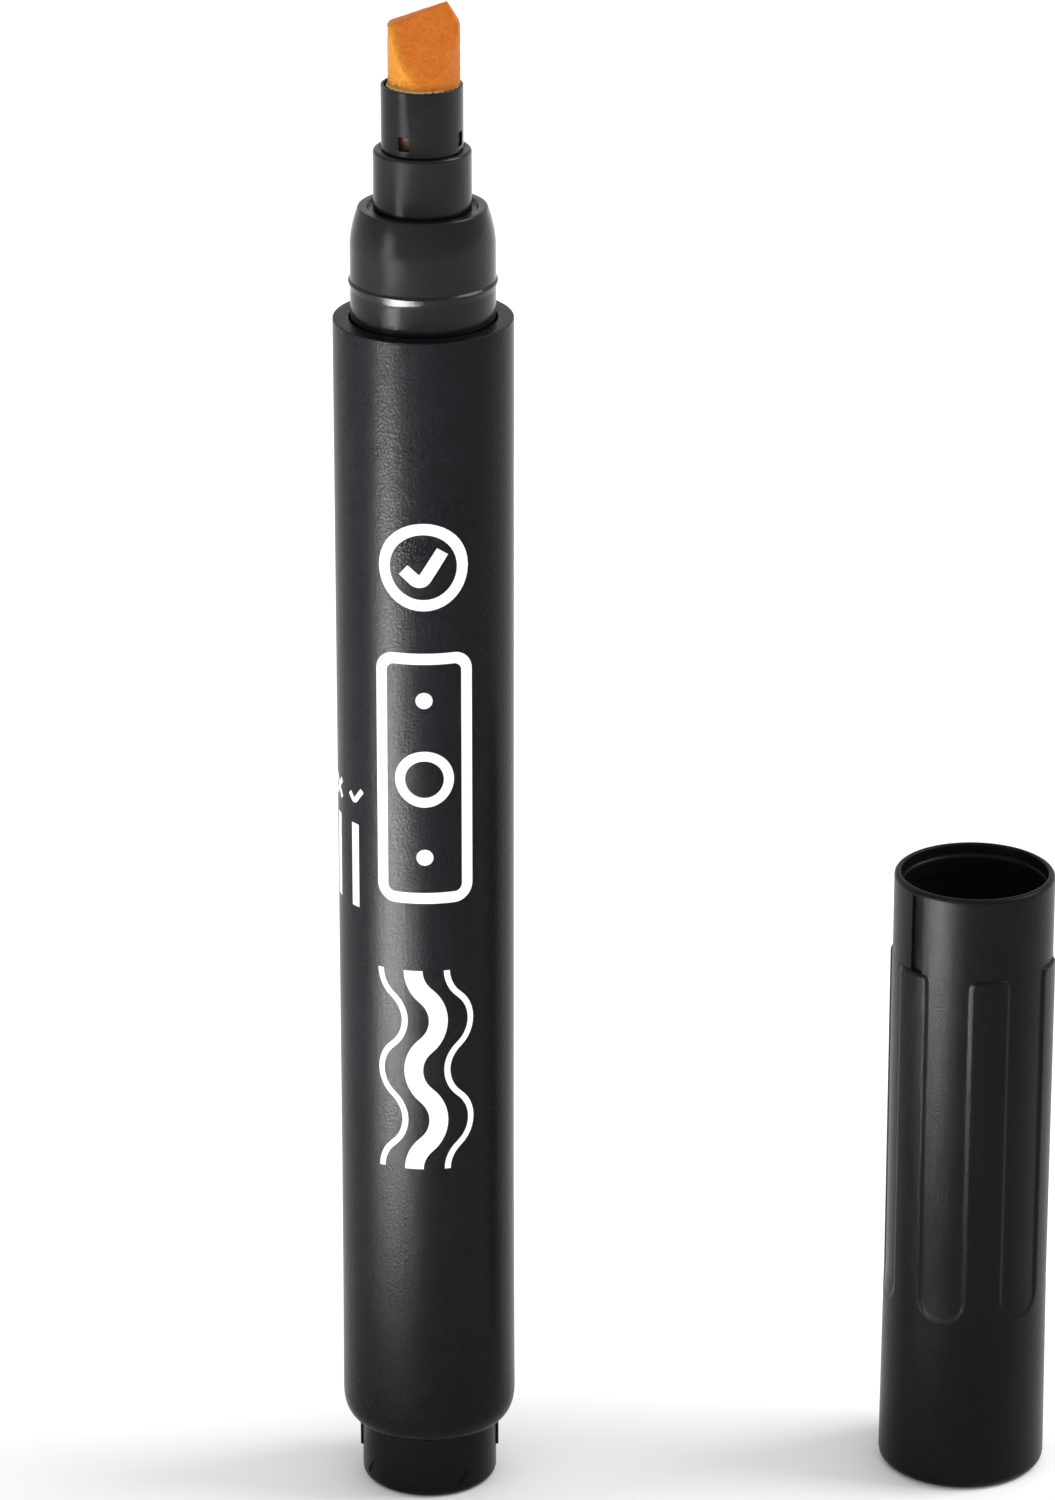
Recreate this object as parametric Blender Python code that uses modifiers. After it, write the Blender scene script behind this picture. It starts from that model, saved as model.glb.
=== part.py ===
"""Counterfeit detector pen: a felt marker that stands on its tail, with its cap standing beside it.

Model only, in metres, +Z up. The origin is the middle of the pen's flat tail end, on the pen's axis,
and the floor is z = 0. Each piece is drawn from its own datum and placed by its location under the
empty of its group: pen_axis for the pen, cap_axis for the cap.
"""
import math

import bmesh
import bpy
from mathutils import Matrix, Vector

MM = 0.001

# Clearances between pieces
PRESS_CLEARANCE = 0.10 * MM      # beside a piece that is pressed into another
END_GAP = 0.30 * MM              # between the ends of pieces in a row
NIB_CLEARANCE = 0.19 * MM        # round the nib in its bore
CAP_CLEARANCE = 0.07 * MM        # between the cap's bore and the snap ridge
SEAL_CLEARANCE = 0.05 * MM       # between the liner's bore and the collar

# Barrel
BARREL_DIAMETER = 13.0 * MM
BARREL_LENGTH = 87.0 * MM
BARREL_WALL = 1.15 * MM
WAIST_DRAW = 0.065 * MM          # how far the wall draws in at the waist
WAIST_HEIGHT = 16.0 * MM         # the waist above the barrel's lower lip
SHOULDER_WIDTH = 1.05 * MM       # rounded lower shoulder, across
SHOULDER_HEIGHT = 1.9 * MM       # and up
BARREL_RIBS = 6
RIB_HEIGHT = 0.40 * MM
RIB_WIDTH = 0.80 * MM

# Tail plug
TAIL_EXPOSED = 5.1 * MM          # what shows under the barrel
PLUG_INSERTION = 8.0 * MM
PLUG_WALL = 1.0 * MM
PLUG_FLOOR = 1.6 * MM
PLUG_EDGE = 0.6 * MM             # rounding of the lower edge
PLUG_RIBS = 2
PLUG_RIB_HEIGHT = 0.18 * MM
PLUG_RIB_WIDTH = 0.70 * MM
PLUG_RIB_FOOT = 2.2 * MM         # where a rib ends above the floor
NOTCHES = 4
NOTCH_WIDTH = 0.35 * MM
NOTCH_LENGTH = 1.3 * MM
NOTCH_DEPTH = 0.12 * MM
NOTCH_HEIGHT = 1.35 * MM
NOTCH_AZIMUTH = 30.0             # degrees from the front towards +X
NOTCH_SLANT = 35.0               # degrees off the upright

# Front section, with heights above the barrel's upper end
SECTION_CLEARANCE = 0.13 * MM    # beside the section in the barrel's bore
SECTION_INSERTION = 11.0 * MM
SECTION_WALL = 0.80 * MM
RIDGE_FOOT = 2.3 * MM
RIDGE_TOP = 2.8 * MM
RIDGE_HEIGHT = 0.16 * MM
DOME_FOOT = 5.6 * MM
DOME_HEIGHT = 2.65 * MM
DOME_DRAW = 0.59 * MM
DOME_SWEEP = 55.0                # degrees of the ellipse that the dome follows
CROWN_THICKNESS = 1.3 * MM
COLLAR_HEIGHT = 4.25 * MM
COLLAR_WALL = 0.75 * MM
COLLAR_EDGE = 0.25 * MM
SOCKET_HEIGHT = 4.7 * MM
SOCKET_WALL = 0.16 * MM
VENT_WIDTH = 0.85 * MM
VENT_HEIGHT = 1.05 * MM
VENT_SILL = 0.45 * MM            # the windows' foot above the collar
VENT_AZIMUTHS = (-26.0, 67.0)    # each cut runs right through, so it makes two windows

# Nib
NIB_DIAMETER = 5.16 * MM
NIB_PROTRUSION = 6.0 * MM        # the tip above the socket's mouth
NIB_TIP_THICKNESS = 0.3 * MM
NIB_WEDGE = 24.0                 # degrees of each chisel face off the upright
NIB_SLANT = 21.0                 # degrees of the writing edge off the level
NIB_PEAK = 1.66 * MM             # the edge's highest point, towards +X
NIB_HEEL = 61.5                  # degrees of the bevel beyond the peak off the level
NIB_SIDE_SHIFT = 0.15 * MM       # the nib leans on one side of its bore
NIB_TAPER = 1.5 * MM             # length of the tapered lower end
NIB_TAPER_DRAW = 0.7 * MM
NIB_TAIL_DEPTH = 9.0 * MM        # how far the nib goes into the ink store

# Ink store
FILM_THICKNESS = 0.15 * MM

# Cap, with heights above its closed end
CAP_PLACE = Vector((40.66 * MM, 2.4 * MM, 0.0))
CAP_LENGTH = 48.25 * MM
CAP_WALL = 0.52 * MM
CAP_FLOOR = 1.4 * MM
RIM_ROUND = 0.2 * MM
CAP_COLLAR = 6.45 * MM           # height of the plain band under the rim
BODY_STEP = 0.20 * MM            # the body stands proud of the band
CAP_DRAFT = 0.12 * MM            # how far the body flares to its closed end
CAP_EDGE = 0.76 * MM
BEAD_DEPTH = 1.0 * MM            # the snap bead under the rim
BEAD_LENGTH = 1.2 * MM
BEAD_BITE = 0.08 * MM            # how far the bead reaches over the snap ridge
BEAD_RAMP = 0.2 * MM
PANELS = 6
PANEL_AZIMUTH = 39.0
PANEL_SPREAD = 35.5              # degrees that a panel goes round
PANEL_FOOT = 13.8 * MM           # the panels run from here up to the band
PANEL_DEPTH = 0.18 * MM
PANEL_CORNER = 1.4 * MM          # rounding of the panels' lower corners
PANEL_RUN_OUT = 0.5 * MM         # how far the cutters run on past the band's foot
SLOT_AZIMUTH = -48.0
SLOT_WIDTH = 1.15 * MM
SLOT_DEPTH = 0.3 * MM
SLOT_LENGTH = 6.0 * MM
CAP_RIBS = 6
CAP_RIB_WIDTH = 0.7 * MM

# Inner cap
LINER_GAP = 0.4 * MM             # from the liner's mouth to the dome's ledge, with the cap on
LINER_HEADROOM = 1.5 * MM        # above the nib's tip, with the cap on
LINER_WALL = 0.6 * MM
LINER_FLANGE = 0.8 * MM

# Worked out from the sizes above: radii from the barrel inwards
BARREL_RADIUS = BARREL_DIAMETER / 2
BORE_RADIUS = BARREL_RADIUS - BARREL_WALL
PLUG_RADIUS = BORE_RADIUS - PRESS_CLEARANCE
SECTION_RADIUS = BORE_RADIUS - SECTION_CLEARANCE
RIDGE_RADIUS = SECTION_RADIUS + RIDGE_HEIGHT
CHAMBER_RADIUS = SECTION_RADIUS - SECTION_WALL
NIB_RADIUS = NIB_DIAMETER / 2
NIB_BORE = NIB_RADIUS + NIB_CLEARANCE
SOCKET_RADIUS = NIB_BORE + SOCKET_WALL
COLLAR_RADIUS = NIB_BORE + COLLAR_WALL
FILM_RADIUS = BORE_RADIUS - RIB_HEIGHT - PRESS_CLEARANCE
FIBRE_RADIUS = FILM_RADIUS - FILM_THICKNESS - PRESS_CLEARANCE
CAP_BORE = RIDGE_RADIUS + CAP_CLEARANCE
CAP_RADIUS = CAP_BORE + CAP_WALL
BEAD_RADIUS = RIDGE_RADIUS - BEAD_BITE
LINER_BORE = COLLAR_RADIUS + SEAL_CLEARANCE
LINER_RADIUS = LINER_BORE + LINER_WALL
FLANGE_RADIUS = CAP_BORE - PRESS_CLEARANCE

# and heights from the floor upwards
BARREL_TOP = TAIL_EXPOSED + BARREL_LENGTH
PLUG_TOP = TAIL_EXPOSED + PLUG_INSERTION
SECTION_FOOT = BARREL_TOP - SECTION_INSERTION
STORE_FOOT = PLUG_TOP + END_GAP
STORE_TOP = SECTION_FOOT - END_GAP
STORE_LENGTH = STORE_TOP - STORE_FOOT
DOME_TOP = DOME_FOOT + DOME_HEIGHT
COLLAR_TOP = DOME_TOP + COLLAR_HEIGHT
SOCKET_TOP = COLLAR_TOP + SOCKET_HEIGHT
TIP_HEIGHT = SOCKET_TOP + NIB_PROTRUSION
NIB_FOOT = STORE_TOP - NIB_TAIL_DEPTH
NIB_LENGTH = BARREL_TOP + TIP_HEIGHT - NIB_FOOT
LINER_MOUTH = CAP_LENGTH - DOME_TOP - LINER_GAP
LINER_FOOT = CAP_LENGTH - TIP_HEIGHT - LINER_HEADROOM - LINER_WALL
LINER_LENGTH = LINER_MOUTH - LINER_FOOT
LINER_SEAT = LINER_MOUTH - LINER_FLANGE - PRESS_CLEARANCE

ROUND_STEPS = 48
MERGE = 0.001 * MM


def clear_scene():
    """Remove what Blender's start-up scene holds."""
    for thing in list(bpy.data.objects):
        bpy.data.objects.remove(thing, do_unlink=True)


def collection(name):
    """Make a collection in the scene."""
    group = bpy.data.collections.new(name)
    bpy.context.scene.collection.children.link(group)
    return group


def plastic(name, colour, roughness, coat=0.0):
    """Make a material from a colour and a roughness."""
    material = bpy.data.materials.new(name)
    material.use_nodes = True
    shader = material.node_tree.nodes["Principled BSDF"]
    shader.inputs["Base Color"].default_value = (*colour, 1.0)
    shader.inputs["Roughness"].default_value = roughness
    shader.inputs["Metallic"].default_value = 0.0
    shader.inputs["Coat Weight"].default_value = coat
    return material


def add(name, mesh, group, parent, height=0.0):
    """Put a mesh in the scene as an object that stands on its group's axis."""
    thing = bpy.data.objects.new(name, mesh)
    group.objects.link(thing)
    thing.parent = parent
    thing.location = (0.0, 0.0, height)
    return thing


def finish(thing, material):
    """Shade a piece smooth between its sharp edges and give it its material."""
    thing.data.shade_smooth()
    thing.data.set_sharp_from_angle(angle=math.radians(30))
    thing.data.materials.append(material)


def arc(centre, radii, start, end, steps):
    """Points on an ellipse in the profile's plane, as (radius, height), from one angle to another."""
    points = []
    for step in range(steps + 1):
        angle = math.radians(start + (end - start) * step / steps)
        points.append((centre[0] + radii[0] * math.cos(angle), centre[1] + radii[1] * math.sin(angle)))
    return points


def turned(name, outline, ring, group, parent, height=0.0):
    """Turn a profile of (radius, height) points about Z; a ring's profile is closed on itself."""
    mesh = bpy.data.meshes.new(name)
    profile = bmesh.new()
    corners = [profile.verts.new((radius, 0.0, level)) for radius, level in outline]
    for first, second in zip(corners, corners[1:]):
        profile.edges.new((first, second))
    if ring:
        profile.edges.new((corners[-1], corners[0]))
    profile.to_mesh(mesh)
    profile.free()
    piece = add(name, mesh, group, parent, height)
    screw = piece.modifiers.new("turn", "SCREW")
    screw.steps = ROUND_STEPS
    screw.render_steps = ROUND_STEPS
    screw.use_merge_vertices = True
    screw.merge_threshold = MERGE
    screw.use_smooth_shade = True
    return piece


def boolean(piece, other, operation):
    """Cut another shape out of a piece, or join it to the piece."""
    modifier = piece.modifiers.new(other.name, "BOOLEAN")
    modifier.operation = operation
    modifier.solver = "EXACT"
    modifier.object = other


def hide(shape):
    """Keep a cutter or a guide out of the model."""
    shape.display_type = "WIRE"
    shape.hide_render = True


def turn_to(azimuth):
    """The turn about Z that brings the front, -Y, round to an azimuth towards +X."""
    return Matrix.Rotation(math.radians(azimuth), 4, "Z")


def blocks(name, azimuths, size, radius, level, guides, parent, height=0.0, slant=0.0):
    """One block for each azimuth: size is across, radial and up, with its middle at radius and level."""
    shape = bmesh.new()
    for azimuth in azimuths:
        place = turn_to(azimuth) @ Matrix.Translation((0.0, -radius, level))
        place = place @ Matrix.Rotation(math.radians(slant), 4, "Y") @ Matrix.Diagonal((*size, 1.0))
        bmesh.ops.create_cube(shape, size=1.0, matrix=place)
    mesh = bpy.data.meshes.new(name)
    shape.to_mesh(mesh)
    shape.free()
    block = add(name, mesh, guides, parent, height)
    hide(block)
    return block


def all_round(count, first=0.0):
    """Azimuths spread evenly round the axis, in degrees."""
    return [first + 360.0 * number / count for number in range(count)]


def make_barrel(group, guides, pen, material):
    """The tube, drawn from its lower lip, with its air ribs between the plug and the front section."""
    lip = BARREL_RADIUS - SHOULDER_WIDTH
    outline = [(BARREL_RADIUS, BARREL_LENGTH), (BARREL_RADIUS - WAIST_DRAW, WAIST_HEIGHT)]
    outline += arc((lip, SHOULDER_HEIGHT), (SHOULDER_WIDTH, SHOULDER_HEIGHT), 0, -90, 6)
    outline += [(BORE_RADIUS, 0.0), (BORE_RADIUS, BARREL_LENGTH)]
    barrel = turned("barrel", outline, True, group, pen, TAIL_EXPOSED)
    low = PLUG_INSERTION + END_GAP
    high = BARREL_LENGTH - SECTION_INSERTION - END_GAP
    radial = RIB_HEIGHT + BARREL_WALL / 2
    size = (RIB_WIDTH, radial, high - low)
    middle = BORE_RADIUS - RIB_HEIGHT + radial / 2
    ribs = blocks("barrel_rib_guides", all_round(BARREL_RIBS), size, middle, (low + high) / 2,
                  guides, pen, TAIL_EXPOSED)
    boolean(barrel, ribs, "UNION")
    finish(barrel, material)
    return barrel


def make_tail_plug(group, guides, pen, material):
    """The cup pressed into the barrel's lower end; its flat base is what the pen stands on."""
    body = PLUG_RADIUS - PLUG_RIB_HEIGHT
    inside = body - PLUG_WALL
    outline = [(0.0, PLUG_FLOOR), (inside, PLUG_FLOOR), (inside, PLUG_TOP), (body, PLUG_TOP)]
    outline += arc((body - PLUG_EDGE, PLUG_EDGE), (PLUG_EDGE, PLUG_EDGE), 0, -90, 5)
    outline += [(0.0, 0.0)]
    plug = turned("tail_plug", outline, False, group, pen)
    radial = PLUG_RIB_HEIGHT + PLUG_WALL / 2
    size = (PLUG_RIB_WIDTH, radial, PLUG_TOP - PLUG_RIB_FOOT)
    ribs = blocks("plug_rib_guides", all_round(PLUG_RIBS, 90.0), size, PLUG_RADIUS - radial / 2,
                  (PLUG_TOP + PLUG_RIB_FOOT) / 2, guides, pen)
    boolean(plug, ribs, "UNION")
    size = (NOTCH_WIDTH, 2 * NOTCH_DEPTH, NOTCH_LENGTH)
    notches = blocks("notch_cutters", all_round(NOTCHES, NOTCH_AZIMUTH), size, body, NOTCH_HEIGHT,
                     guides, pen, slant=NOTCH_SLANT)
    boolean(plug, notches, "DIFFERENCE")
    finish(plug, material)
    return plug


def make_front_section(group, guides, pen, material):
    """The nib holder, drawn from the barrel's upper end: plug, snap ridge, dome, collar and socket."""
    sweep = math.radians(DOME_SWEEP)
    dome = (DOME_DRAW / (1 - math.cos(sweep)), DOME_HEIGHT / math.sin(sweep))
    outline = [(SOCKET_RADIUS, SOCKET_TOP), (SOCKET_RADIUS, COLLAR_TOP)]
    outline += arc((COLLAR_RADIUS - COLLAR_EDGE, COLLAR_TOP - COLLAR_EDGE), (COLLAR_EDGE, COLLAR_EDGE),
                   90, 0, 3)
    outline += [(COLLAR_RADIUS, DOME_TOP)]
    outline += arc((SECTION_RADIUS - dome[0], DOME_FOOT), dome, DOME_SWEEP, 0, 5)
    outline += [(SECTION_RADIUS, RIDGE_TOP + RIDGE_HEIGHT), (RIDGE_RADIUS, RIDGE_TOP)]
    outline += [(SECTION_RADIUS, RIDGE_FOOT), (SECTION_RADIUS, -SECTION_INSERTION)]
    outline += [(CHAMBER_RADIUS, -SECTION_INSERTION), (CHAMBER_RADIUS, DOME_TOP - CROWN_THICKNESS)]
    outline += [(NIB_BORE, DOME_TOP - CROWN_THICKNESS), (NIB_BORE, SOCKET_TOP)]
    section = turned("front_section", outline, True, group, pen, BARREL_TOP)
    size = (VENT_WIDTH, 2 * COLLAR_RADIUS, VENT_HEIGHT)
    windows = blocks("vent_cutters", VENT_AZIMUTHS, size, 0.0, COLLAR_TOP + VENT_SILL + VENT_HEIGHT / 2,
                     guides, pen, BARREL_TOP)
    boolean(section, windows, "DIFFERENCE")
    finish(section, material)
    return section


def make_nib(group, pen, material):
    """The felt rod, drawn from its lower end: a chisel with a slanted edge above, a taper below."""
    shape = bmesh.new()
    rod = NIB_LENGTH - NIB_TAPER
    place = Matrix.Translation((0.0, 0.0, NIB_TAPER + rod / 2))
    bmesh.ops.create_cone(shape, cap_ends=True, segments=ROUND_STEPS, radius1=NIB_RADIUS,
                          radius2=NIB_RADIUS, depth=rod, matrix=place)
    base = min(shape.faces, key=lambda face: face.calc_center_median().z)
    taper = bmesh.ops.extrude_discrete_faces(shape, faces=[base])["faces"][0]
    draw = 1 - NIB_TAPER_DRAW / NIB_RADIUS
    bmesh.ops.scale(shape, vec=(draw, draw, 1.0), verts=taper.verts)
    bmesh.ops.translate(shape, vec=(0.0, 0.0, -NIB_TAPER), verts=taper.verts)
    wedge = math.radians(NIB_WEDGE)
    slant = math.radians(NIB_SLANT)
    heel = math.radians(NIB_HEEL)
    peak = Vector((NIB_PEAK, 0.0, NIB_LENGTH))
    half_tip = Vector((0.0, NIB_TIP_THICKNESS / 2, 0.0))
    cuts = [(peak - half_tip, Vector((0.0, -math.cos(wedge), math.sin(wedge)))),
            (peak + half_tip, Vector((0.0, math.cos(wedge), math.sin(wedge)))),
            (peak, Vector((-math.sin(slant), 0.0, math.cos(slant)))),
            (peak, Vector((math.sin(heel), 0.0, math.cos(heel))))]
    for point, normal in cuts:
        everything = shape.verts[:] + shape.edges[:] + shape.faces[:]
        bmesh.ops.bisect_plane(shape, geom=everything, dist=MERGE / 10, plane_co=point, plane_no=normal,
                               clear_outer=True)
        rims = [edge for edge in shape.edges if edge.is_boundary]
        bmesh.ops.holes_fill(shape, edges=rims, sides=0)
    bmesh.ops.recalc_face_normals(shape, faces=shape.faces)
    mesh = bpy.data.meshes.new("nib")
    shape.to_mesh(mesh)
    shape.free()
    nib = add("nib", mesh, group, pen, NIB_FOOT)
    nib.location.x = NIB_SIDE_SHIFT
    finish(nib, material)
    return nib


def make_ink_store(group, pen, fibre_material, film_material):
    """The fibre core, with the hole that the nib's tail fills, and the film wrapped round it."""
    hole = NIB_BORE + NIB_SIDE_SHIFT
    hole_floor = STORE_LENGTH - NIB_TAIL_DEPTH - END_GAP
    outline = [(0.0, hole_floor), (hole, hole_floor), (hole, STORE_LENGTH), (FIBRE_RADIUS, STORE_LENGTH)]
    outline += [(FIBRE_RADIUS, 0.0), (0.0, 0.0)]
    fibre = turned("reservoir_fibre", outline, False, group, pen, STORE_FOOT)
    finish(fibre, fibre_material)
    inside = FILM_RADIUS - FILM_THICKNESS
    outline = [(FILM_RADIUS, STORE_LENGTH), (FILM_RADIUS, 0.0), (inside, 0.0), (inside, STORE_LENGTH)]
    film = turned("reservoir_film", outline, True, group, pen, STORE_FOOT)
    finish(film, film_material)
    return fibre, film


def panel_slabs(low, high, floor):
    """Slabs with rounded lower corners, all round, each standing on a chord of the panels' floor."""
    half_spread = math.radians(PANEL_SPREAD / 2)
    near = floor * math.cos(half_spread) - PANEL_DEPTH
    size = (2 * floor * math.sin(half_spread), CAP_RADIUS, high - low)
    place = turn_to(PANEL_AZIMUTH) @ Matrix.Translation((0.0, -near - CAP_RADIUS / 2, (low + high) / 2))
    slabs = bmesh.new()
    bmesh.ops.create_cube(slabs, size=1.0, matrix=Matrix.Diagonal((*size, 1.0)))
    corners = [edge for edge in slabs.edges if abs(edge.verts[0].co.y - edge.verts[1].co.y) > MERGE
               and edge.verts[0].co.z < 0.0]
    bmesh.ops.bevel(slabs, geom=corners, affect="EDGES", offset=PANEL_CORNER, segments=4, profile=0.5,
                    material=-1)
    bmesh.ops.transform(slabs, matrix=place, verts=slabs.verts)
    step = math.tau / PANELS
    bmesh.ops.spin(slabs, geom=slabs.faces[:], axis=(0.0, 0.0, 1.0), angle=step * (PANELS - 1),
                   steps=PANELS - 1, use_duplicate=True)
    return slabs


def make_cap_shell(group, guides, cap, material):
    """The cap, drawn from its closed end: rounded rim, snap bead, side slot, grip panels, liner ribs."""
    body = CAP_RADIUS + BODY_STEP
    closed_end = body + CAP_DRAFT
    collar_foot = CAP_LENGTH - CAP_COLLAR
    bead_top = CAP_LENGTH - BEAD_DEPTH
    bead_foot = bead_top - BEAD_LENGTH
    outline = [(0.0, CAP_FLOOR), (CAP_BORE, CAP_FLOOR), (CAP_BORE, bead_foot - BEAD_RAMP)]
    outline += [(BEAD_RADIUS, bead_foot), (BEAD_RADIUS, bead_top), (CAP_BORE, bead_top + BEAD_RAMP)]
    outline += arc((CAP_BORE + RIM_ROUND, CAP_LENGTH - RIM_ROUND), (RIM_ROUND, RIM_ROUND), 180, 90, 3)
    outline += arc((CAP_RADIUS - RIM_ROUND, CAP_LENGTH - RIM_ROUND), (RIM_ROUND, RIM_ROUND), 90, 0, 3)
    outline += [(CAP_RADIUS, collar_foot), (body, collar_foot - BODY_STEP)]
    outline += [(body, PANEL_FOOT)]
    outline += arc((closed_end - CAP_EDGE, CAP_EDGE), (CAP_EDGE, CAP_EDGE), 0, -90, 4)
    outline += [(0.0, 0.0)]
    shell = turned("cap_shell", outline, False, group, cap)

    floor = body - PANEL_DEPTH
    core_outline = [(0.0, CAP_LENGTH), (floor, CAP_LENGTH), (floor, 0.0), (0.0, 0.0)]
    core = turned("panel_floor_guide", core_outline, False, guides, cap)
    hide(core)
    slabs = panel_slabs(PANEL_FOOT, collar_foot + PANEL_RUN_OUT, floor)
    mesh = bpy.data.meshes.new("panel_cutters")
    slabs.to_mesh(mesh)
    slabs.free()
    panels = add("panel_cutters", mesh, guides, cap)
    hide(panels)
    boolean(panels, core, "DIFFERENCE")
    boolean(shell, panels, "DIFFERENCE")

    size = (SLOT_WIDTH, 2 * SLOT_DEPTH, SLOT_LENGTH)
    slot = blocks("slot_cutter", [SLOT_AZIMUTH], size, CAP_RADIUS, collar_foot + SLOT_LENGTH / 2, guides, cap)
    boolean(shell, slot, "DIFFERENCE")

    inner = LINER_RADIUS + PRESS_CLEARANCE
    outer = CAP_BORE + CAP_WALL / 2
    low = CAP_FLOOR / 2
    size = (CAP_RIB_WIDTH, outer - inner, LINER_SEAT - low)
    ribs = blocks("cap_rib_guides", all_round(CAP_RIBS), size, (inner + outer) / 2, (low + LINER_SEAT) / 2,
                  guides, cap)
    boolean(shell, ribs, "UNION")
    finish(shell, material)
    return shell


def make_inner_cap(group, cap, material):
    """The liner, drawn from its closed end: a cup whose bore seals on the collar when the cap is on."""
    flange_foot = LINER_LENGTH - LINER_FLANGE
    outline = [(0.0, LINER_WALL), (LINER_BORE, LINER_WALL), (LINER_BORE, LINER_LENGTH)]
    outline += [(FLANGE_RADIUS, LINER_LENGTH), (FLANGE_RADIUS, flange_foot), (LINER_RADIUS, flange_foot)]
    outline += [(LINER_RADIUS, 0.0), (0.0, 0.0)]
    liner = turned("inner_cap", outline, False, group, cap, LINER_FOOT)
    finish(liner, material)
    return liner


def make_pen():
    """Build every piece of the pen and its cap."""
    clear_scene()
    pieces = collection("detector_pen")
    guides = collection("cutters_and_guides")
    pen = bpy.data.objects.new("pen_axis", None)
    cap = bpy.data.objects.new("cap_axis", None)
    cap.location = CAP_PLACE
    for axis in (pen, cap):
        pieces.objects.link(axis)

    satin_black = plastic("satin_black_plastic", (0.020, 0.021, 0.023), 0.38)
    gloss_black = plastic("gloss_black_plastic", (0.010, 0.011, 0.012), 0.16, 0.3)
    grained_black = plastic("grained_black_plastic", (0.019, 0.021, 0.022), 0.46)
    amber_felt = plastic("amber_felt", (0.70, 0.19, 0.03), 0.85)
    ink_fibre = plastic("ink_soaked_fibre", (0.55, 0.24, 0.08), 0.9)
    clear_film = plastic("film", (0.75, 0.76, 0.74), 0.25)
    natural = plastic("natural_polythene", (0.55, 0.56, 0.54), 0.4)

    make_barrel(pieces, guides, pen, satin_black)
    make_tail_plug(pieces, guides, pen, satin_black)
    make_front_section(pieces, guides, pen, gloss_black)
    make_nib(pieces, pen, amber_felt)
    make_ink_store(pieces, pen, ink_fibre, clear_film)
    make_cap_shell(pieces, guides, cap, grained_black)
    make_inner_cap(pieces, cap, natural)


make_pen()
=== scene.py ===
"""A counterfeit detector pen, standing on its tail with its cap off and standing beside it."""
import math

import bmesh
import bpy
from mathutils import Matrix, Vector, noise


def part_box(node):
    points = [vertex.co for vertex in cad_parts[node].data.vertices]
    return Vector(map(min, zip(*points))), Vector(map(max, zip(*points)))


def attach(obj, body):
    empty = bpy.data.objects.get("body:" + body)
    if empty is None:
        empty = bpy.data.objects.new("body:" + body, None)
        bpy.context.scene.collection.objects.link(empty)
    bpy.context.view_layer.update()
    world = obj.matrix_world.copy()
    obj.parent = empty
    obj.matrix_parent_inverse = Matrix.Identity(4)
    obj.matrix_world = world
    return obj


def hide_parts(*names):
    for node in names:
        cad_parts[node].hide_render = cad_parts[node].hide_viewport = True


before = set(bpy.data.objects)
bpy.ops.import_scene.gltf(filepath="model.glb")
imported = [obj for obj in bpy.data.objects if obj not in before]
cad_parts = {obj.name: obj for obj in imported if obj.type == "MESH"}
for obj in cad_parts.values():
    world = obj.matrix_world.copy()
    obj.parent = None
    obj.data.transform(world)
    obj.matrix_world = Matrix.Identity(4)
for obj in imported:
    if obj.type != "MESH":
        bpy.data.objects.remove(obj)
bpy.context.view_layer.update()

# Camera: a long lens, a little above the pen, as for a catalogue picture. It looks level with the
# pen's middle, at a point between the pen and its cap.
MM = 0.001
AIM = Vector((7.46 * MM, 0.0, 58.8 * MM))
CAMERA_DISTANCE = 500.6 * MM
CAMERA_PITCH = math.radians(21.2)
CAMERA_LENS = 163.9
SENSOR_WIDTH = 36.0

camera = bpy.data.objects.new("camera", bpy.data.cameras.new("camera"))
bpy.context.scene.collection.objects.link(camera)
bpy.context.scene.camera = camera
camera.data.lens = CAMERA_LENS
camera.data.sensor_width = SENSOR_WIDTH
camera.data.clip_start = 10 * MM
camera.data.clip_end = 20.0
camera.location = AIM + Vector((0.0, -math.cos(CAMERA_PITCH), math.sin(CAMERA_PITCH))) * CAMERA_DISTANCE
camera.rotation_euler = (math.pi / 2 - CAMERA_PITCH, 0.0, 0.0)


# Floor: a sheet of matt white board, larger than any view of the pen, just below its tail.
FLOOR_SIZE = 8.0
FLOOR_DROP = 0.02 * MM


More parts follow.
